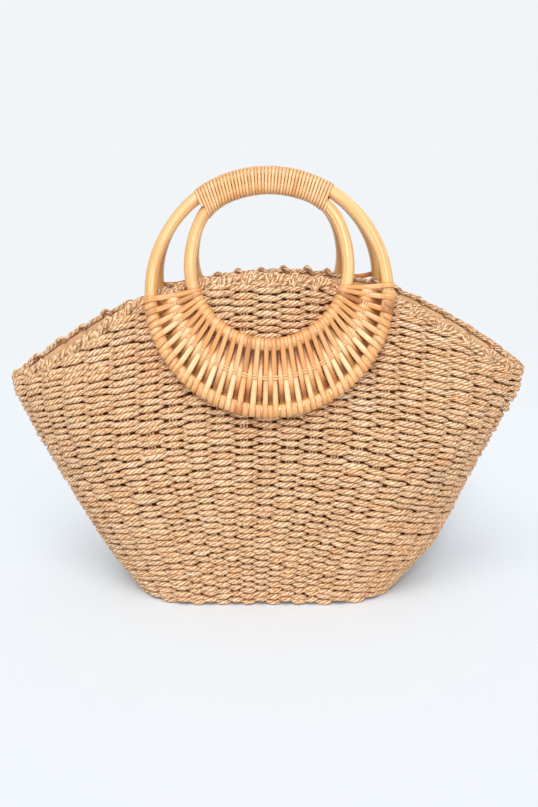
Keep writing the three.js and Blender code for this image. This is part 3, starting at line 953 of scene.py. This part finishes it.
def split_cane_material():
    """Split cane: glossy outer skin with fine lengthwise fibres, each strip of its own tone, and
    painted highlights and painted shade carried in the tone.
    """
    gloss = {"Coat Weight": 0.35, "Coat Roughness": 0.26}
    material, tree, shader = new_material("split_cane", gloss)
    streaks = fibre_streaks(tree, 4.2, 40.0, 30.0)
    fibre = ranged(tree, streaks["Streak"], 0.35, 0.65)
    colour = mixed(tree, fibre, linear(194, 118, 54), linear(244, 192, 124))
    # The tone holds each strip's own tone and painted light: the pale tint is partly the strips'
    # own paler tone and partly a painted highlight, and the dark brown is painted shade where a
    # strip dives behind the canes and the other strips. The amber patches are the cane's own
    # colour.
    for key, limits, tint in (
        ("Tone", (0.45, 0.9, 0.0, 0.5), (252, 220, 176)),  # the paler strips
        ("Patch", (0.45, 0.75, 0.0, 0.6), (222, 142, 74)),  # amber patches
        ("Tone", (0.0, 0.3, 0.85, 0.0), (140, 74, 32)),  # where a strip passes under another
    ):
        colour = mixed(tree, ranged(tree, streaks[key], *limits), colour, linear(*tint))
    # Painted shade along the edges of each strip, where it meets its neighbours.
    around = kept_value(tree, "around", "Vector")
    across = add_node(tree, "ShaderNodeSeparateXYZ", {0: around}).outputs["Y"]
    painted_edge_shade = ranged(tree, maths(tree, "ABSOLUTE", across), 0.66, 0.96, 0.0, 0.6)
    colour = mixed(tree, painted_edge_shade, colour, linear(158, 84, 34))
    rough = ranged(tree, streaks["Streak"], 0.2, 0.8, 0.36, 0.5)
    finish_surface(tree, shader, colour, streaks["Streak"], 0.2, 0.0004, rough)
    return material


split_cane = split_cane_material()


def strip_inputs(width, thickness):
    """What the strip tree takes, from millimetres."""
    return {"Width": width * MM, "Thickness": thickness * MM, "Material": split_cane}


PANEL_STRIPS = 31
PANEL_LEFT, PANEL_RIGHT = 184.0, 363.0  # degrees round the outer ring
PANEL_FAN = 0.191
PANEL_WIDTH, PANEL_STRIP_THICKNESS = 4.8, 0.85
BAND_WIDTH, BAND_THICKNESS = 1.9, 0.8
BAND_TONE = 0.7
WRAP = cane + PANEL_STRIP_THICKNESS / 2 + 0.08


def panel_ends(share):
    """The two canes' middles where a strip crosses them, given its share of the way round."""
    outer = PANEL_LEFT + (PANEL_RIGHT - PANEL_LEFT) * share
    from_bottom = outer - 270
    inner = 270 + from_bottom * (1 - PANEL_FAN * (from_bottom / 90) ** 2)
    return np.array(on_inner(inner)), np.array(on_outer(outer))


def arc(centre, start, end, radius, steps):
    """Points round a cane in a strip's own plane: 270 degrees is its front, 0 the side away."""
    angle = np.radians(np.linspace(start, end, steps))
    return np.stack([centre + radius * np.cos(angle), -radius * np.sin(angle)], axis=1)


def crossing(points, steps):
    """A rounded line through a few places between the canes."""
    points = np.array(points)
    t = np.linspace(0, len(points) - 1, steps)
    line = np.stack([np.interp(t, np.arange(len(points)), points[:, i]) for i in range(2)], axis=1)
    line[1:-1] = (line[:-2] + 2 * line[1:-1] + line[2:]) / 4
    return line


def over_path(length):
    """A strip that shows over both rings and dips behind the middle band."""
    between = [(length * 0.3, 1.0), (length * 0.5, -1.0), (length * 0.7, 1.0)]
    middle = crossing([(WRAP * 0.75, 4.2), *between, (length - WRAP * 0.8, 3.6)], 13)
    return np.vstack([arc(0, 120, 300, WRAP, 10), middle[1:-1], arc(length, 232, 430, WRAP, 11)])


def under_path(length):
    """A strip that wraps the inner ring from its front, passes behind, over the band and under."""
    dips = ((0.2, -4.6), (0.36, -1.6), (0.5, 1.4), (0.64, -0.9), (0.8, -4.2))
    between = [(length * share, depth) for share, depth in dips]
    middle = crossing([(WRAP * 0.8, -4.6), *between, (length - WRAP * 0.8, -4.9)], 13)
    front = arc(0, 292, 55, WRAP - 0.15, 11)
    return np.vstack([front, middle[1:-1], arc(length, 130, -122, WRAP + 0.12, 13)])


def panel_strips(side):
    """All strips of one panel: their paths, faces, widths and tones, the tones with painted
    highlights and painted shade.
    """
    paths, facing, thick, tone = [], [], [], []
    for n in range(2 * PANEL_STRIPS - 1):
        over = n % 2 == 0
        share = n / (2 * PANEL_STRIPS - 2)
        inner, outer = panel_ends(share + 0.0015 * chance.normal())
        length = np.linalg.norm(outer - inner)
        ahead = (outer - inner) / length
        line = over_path(length) if over else under_path(length)
        step = np.gradient(line, axis=0)
        step /= np.linalg.norm(step, axis=1)[:, None]
        normal = np.stack([-step[:, 1], step[:, 0]], axis=1) * (1 if over else -1)
        place = inner + line[:, :1] * ahead
        paths.append(in_handle(side, place[:, 0], line[:, 1], place[:, 1]))
        way = normal[:, :1] * ahead
        facing.append(way_in_handle(side, way[:, 0], normal[:, 1], way[:, 1]))
        near = np.clip(line[:, 0] / length, 0, 1)
        widths = (0.84 + 0.2 * near) if over else (0.66 + 0.38 * near)
        between = np.zeros(len(line))  # the stretch between the two canes
        between[10 if over else 11 : -11 if over else -13] = 1
        # Painted light in the tone: an over strip gets a painted highlight on its lower half,
        # towards the outer cane, and an under strip a painted highlight in the middle, over the
        # band, and painted shade towards the canes, where it dives behind.
        if over:
            painted_highlight_and_shade = between * 0.3 * smooth_step((near - 0.45) / 0.15)
        else:
            painted_highlight_and_shade = between * (0.3 - 0.8 * smooth_step(np.abs(near - 0.5) / 0.36))
        widths = widths * (1 + 0.05 * chance.normal())
        if not over:
            widths[-3:] = widths[-3:] * (0.95, 0.8, 0.5)
        thick.append(widths)
        tone.append(np.clip(0.45 + 0.13 * chance.normal() + painted_highlight_and_shade, 0, 1))
    return paths, facing, thick, tone


def band_strips(side):
    """The pair of thin strips along the middle of the panel, over one strip and under the next."""
    share = np.linspace(0.004, 0.996, 240)
    ends = [panel_ends(s) for s in share]
    inner, outer = (np.array([pair[i] for pair in ends]) for i in (0, 1))
    length = np.linalg.norm(outer - inner, axis=1)[:, None]
    ahead = (outer - inner) / length
    wave = 0.2 + 0.55 * np.cos(share * (PANEL_STRIPS - 1) * 2 * math.pi)
    paths = []
    for n in (-0.5, 0.5):
        place = (inner + outer) / 2 + ahead * n * (BAND_WIDTH + 0.15)
        paths.append(in_handle(side, place[:, 0], wave, place[:, 1]))
    facing = way_in_handle(side, 0 * share, 1 + 0 * share, 0 * share)
    return np.array(paths), np.array([facing, facing])


for side in HANDLES:
    groups = panel_strips(side)
    for n, kind in enumerate(("over", "under")):
        paths, facing, thick, tone = (np.array(group[n::2]) for group in groups)
        strip = strip_inputs(PANEL_WIDTH, PANEL_STRIP_THICKNESS)
        values = {"facing": facing, "thick": thick, "tone": tone}
        strips = swept(f"{side}_{kind}_strips", strip_tree, strip, paths, values)
        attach(strips, "root")
        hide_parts(f"{side}_cane_panel")
    paths, facing = band_strips(side)
    even = np.ones(facing.shape[:2])
    strip = strip_inputs(BAND_WIDTH, BAND_THICKNESS)
    values = {"facing": facing, "thick": even, "tone": BAND_TONE * even}
    band = swept(f"{side}_middle_band", strip_tree, strip, paths, values)
    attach(band, "root")
    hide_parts(f"{side}_cane_panel")


# The grips: one long thin strip of split cane wound round both canes at the top of each handle,
# turn beside turn. It binds the two rings together.
GRIP_RIGHT, GRIP_LEFT = 58.0, 127.0  # degrees round the outer ring
GRIP_FAN = 1.36
GRIP_TURNS = 41
GRIP_STRIP = 2.5
GRIP_STRIP_THICKNESS = 1.05
TURN_STEPS = 20


def wound_grip(side):
    """The path of the winding, which goes round a section with a cane at each end."""
    radius = cane + GRIP_STRIP_THICKNESS / 2 + 0.1
    half = np.linspace(0, math.pi, 8)
    steps = GRIP_TURNS * TURN_STEPS
    share = np.arange(steps) / (steps - 1)
    angle = GRIP_RIGHT + (GRIP_LEFT - GRIP_RIGHT) * share
    outer = np.stack(on_outer(angle), axis=1)
    inner = np.stack(on_inner(90 + GRIP_FAN * (angle - 90)), axis=1)
    apart = np.linalg.norm(outer - inner, axis=1)
    ahead = (outer - inner) / apart[:, None]
    round_inner = np.stack([-np.sin(half), np.cos(half)], axis=1)
    round_outer = np.stack([np.sin(half), -np.cos(half)], axis=1)
    behind, before = [[0.0, -1.0]] * 2, [[0.0, 1.0]] * 2
    section = np.vstack([round_inner, behind, round_outer, before])
    reach = np.r_[np.zeros(8), 0.33, 0.67, np.ones(8), 0.67, 0.33]
    k = np.arange(steps) % TURN_STEPS
    normal = section[k]
    along = reach[k] * apart + radius * normal[:, 0]
    place = inner + along[:, None] * ahead
    path = in_handle(side, place[:, 0], radius * normal[:, 1], place[:, 1])
    way = normal[:, :1] * ahead
    facing = way_in_handle(side, way[:, 0], normal[:, 1], way[:, 1])
    turn_tone = np.clip(0.66 + 0.11 * chance.normal(size=GRIP_TURNS + 1), 0.35, 1)
    tone = np.interp(np.arange(steps) / TURN_STEPS, np.arange(GRIP_TURNS + 1), turn_tone)
    return path[None], {"facing": facing[None], "thick": np.ones((1, steps)), "tone": tone[None]}


for side in HANDLES:
    strip = strip_inputs(GRIP_STRIP, GRIP_STRIP_THICKNESS)
    grip = swept(f"{side}_grip_winding", strip_tree, strip, *wound_grip(side))
    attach(grip, "root")
    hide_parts(f"{side}_grip_wrap")


# Studio: a plain pale floor that fades into a plain pale surround of the same brightness, soft
# light from above and the front, and the camera just above the handles, looking down a little.
CAMERA_PLACE = (0.0013, -0.7988, 0.4029)
CAMERA_TILT = 74.0
CAMERA_LENS = 40.73
camera_data = bpy.data.cameras.new("camera")
camera_data.lens = CAMERA_LENS
camera_data.sensor_width = 36.0
camera_data.sensor_fit = "AUTO"
camera = put_in_scene("camera", camera_data)
camera.location = CAMERA_PLACE
camera.rotation_euler = (math.radians(CAMERA_TILT), 0, 0)
scene.camera = camera


def soft_sun(name, elevation, azimuth, strength, spread):
    """Even light from a wide part of the sky. Azimuth 0 is the front, 90 the right."""
    light = bpy.data.lights.new(name, "SUN")
    light.energy = strength
    light.angle = math.radians(spread)
    lamp = put_in_scene(name, light)
    lamp.rotation_euler = (math.radians(90 - elevation), 0, math.radians(azimuth))


soft_sun("key", 62, -14, 1.58, 40)
soft_sun("front_fill", 24, 12, 0.98, 60)
soft_sun("lamp", 38, -6, 0.6, 9)

PAPER_WHITE = (0.8796, 0.9130, 0.9387)
world = bpy.data.worlds.new("studio")
world.use_nodes = True
tree = world.node_tree
surround = tree.nodes["Background"]
surround.inputs["Color"].default_value = (*PAPER_WHITE, 1)
surround.inputs["Strength"].default_value = 1.0
dimmed = result(tree, "ShaderNodeBackground", {"Color": (0.93, 0.96, 1.0, 1), "Strength": 0.64})
seen = add_node(tree, "ShaderNodeLightPath").outputs["Is Camera Ray"]
both = result(tree, "ShaderNodeMixShader", {0: seen, 1: dimmed, 2: surround.outputs[0]})
tree.links.new(both, tree.nodes["World Output"].inputs["Surface"])
scene.world = world
scene.view_settings.view_transform = "Standard"

bpy.ops.mesh.primitive_plane_add(size=60, location=(0, 0, 0))
floor = bpy.context.object
floor.name = "floor"
FLOOR_COLOUR = (0.70, 0.735, 0.765, 1)
matte = {"Base Color": FLOOR_COLOUR, "Roughness": 1.0, "Specular IOR Level": 0.0}
paper, tree, shader = new_material("paper", matte)
place = add_node(tree, "ShaderNodeTexCoord").outputs["Object"]
away = add_node(tree, "ShaderNodeVectorMath", {0: place}, operation="LENGTH").outputs["Value"]
glow = result(tree, "ShaderNodeEmission", {"Color": (*PAPER_WHITE, 1), "Strength": 1.0})
fade = ranged(tree, away, 0.12, 1.1)
both = result(tree, "ShaderNodeMixShader", {0: fade, 1: shader.outputs[0], 2: glow})
tree.links.new(both, tree.nodes["Material Output"].inputs["Surface"])
floor.data.materials.append(paper)
